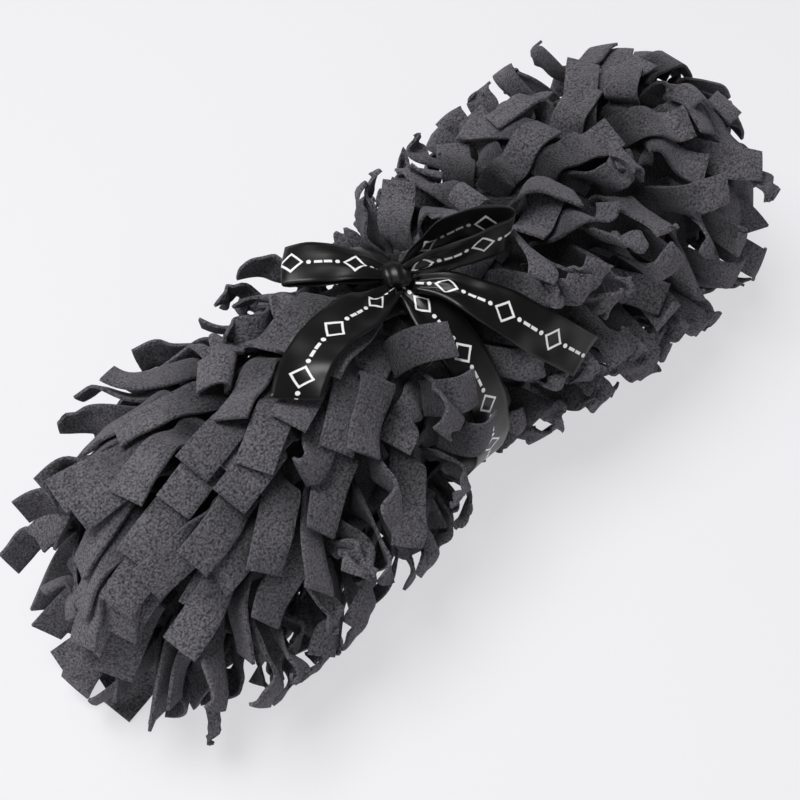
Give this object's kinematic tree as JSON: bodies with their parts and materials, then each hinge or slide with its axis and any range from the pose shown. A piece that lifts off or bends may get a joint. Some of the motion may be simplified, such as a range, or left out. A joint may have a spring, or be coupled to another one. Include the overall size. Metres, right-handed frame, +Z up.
{
  "type": "snuffle mat",
  "caption": "Rolled fleece snuffle mat, its cut strips outwards, drawn in at the middle by a satin ribbon tied in a bow with free tails.",
  "frame": {"origin": "on the surface the roll lies on, under the middle of its box", "axes": "+X along the roll from the left-hand lobe to the right-hand one, +Z up, -Y towards the side that the right tail hangs down"},
  "size_m": [0.76, 0.2576, 0.2835],
  "materials": {
    "grey_fleece": "matt charcoal grey polyester fleece, finely pebbled",
    "black_satin": "black satin ribbon with a soft sheen and woven edges"
  },
  "bodies": {
    "root": {"mat_roll": "grey_fleece", "ribbon_band": "black_satin", "bow_knot": "black_satin", "bow_loop_left": "black_satin", "bow_loop_right": "black_satin", "bow_tail_left": "black_satin", "bow_tail_right": "black_satin"}
  },
  "joints": []
}
